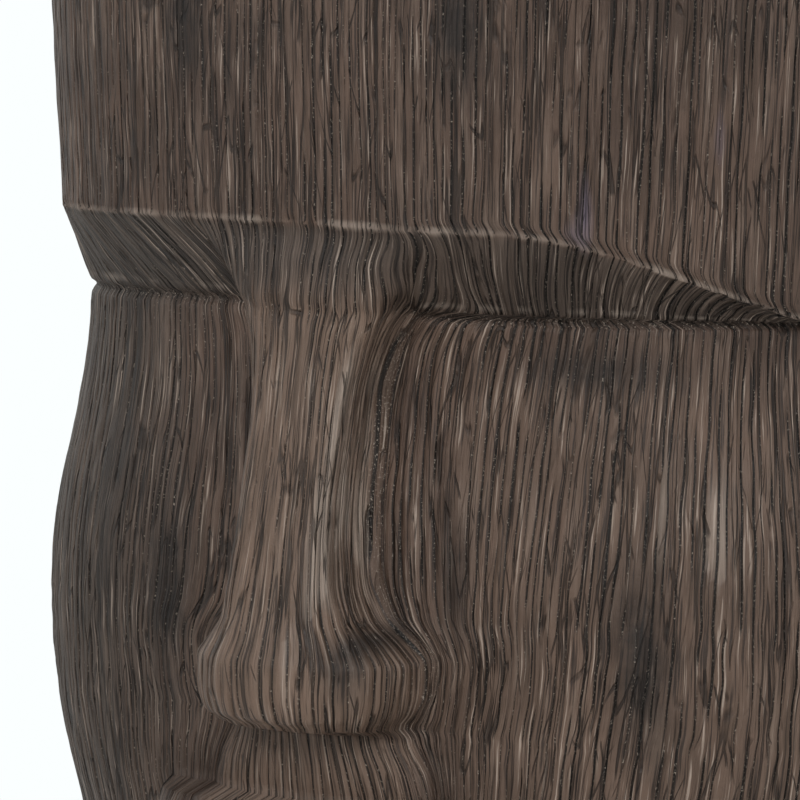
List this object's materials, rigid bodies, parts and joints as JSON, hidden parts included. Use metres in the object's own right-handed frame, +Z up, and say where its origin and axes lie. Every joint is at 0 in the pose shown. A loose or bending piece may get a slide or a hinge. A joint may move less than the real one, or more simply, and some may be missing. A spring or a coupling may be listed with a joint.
{
  "type": "tiki head figure",
  "caption": "Hollow standing garden head with tall forehead, long nose and carved-wood texture, cast in front and back shells on a footed base plate.",
  "frame": {"origin": "on the ground, under the middle of the whole figure", "axes": "+Z up, the face looks along -Y, +X is to the right of someone who faces the figure"},
  "size_m": [0.3098, 0.2521, 0.54],
  "materials": {
    "painted_casting": "fibre-cement casting scored like carved wood, stained dark brown and dry-brushed, matt",
    "bandage": "glass-fibre bandage soaked in cement slurry",
    "cement_board": "cast board, matt",
    "softwood": "sawn softwood",
    "zinc_steel": "zinc-plated",
    "black_rubber": "moulded, matt"
  },
  "bodies": {
    "casting": {"face_shell": "painted_casting", "back_shell": "painted_casting", "joint_tape_left": "bandage", "joint_tape_right": "bandage", "joint_tape_crown": "bandage", "base_plate": "cement_board", "base_blocks": "softwood", "base_screws": "zinc_steel", "rubber_feet": "black_rubber", "foot_screws": "zinc_steel"},
    "bung": {"fill_bung": "black_rubber"}
  },
  "joints": [
    {"name": "bung_pull", "type": "slide", "parent": "casting", "child": "bung", "axis": [0, 0, -1], "range_m": [0, 0.035]}
  ]
}
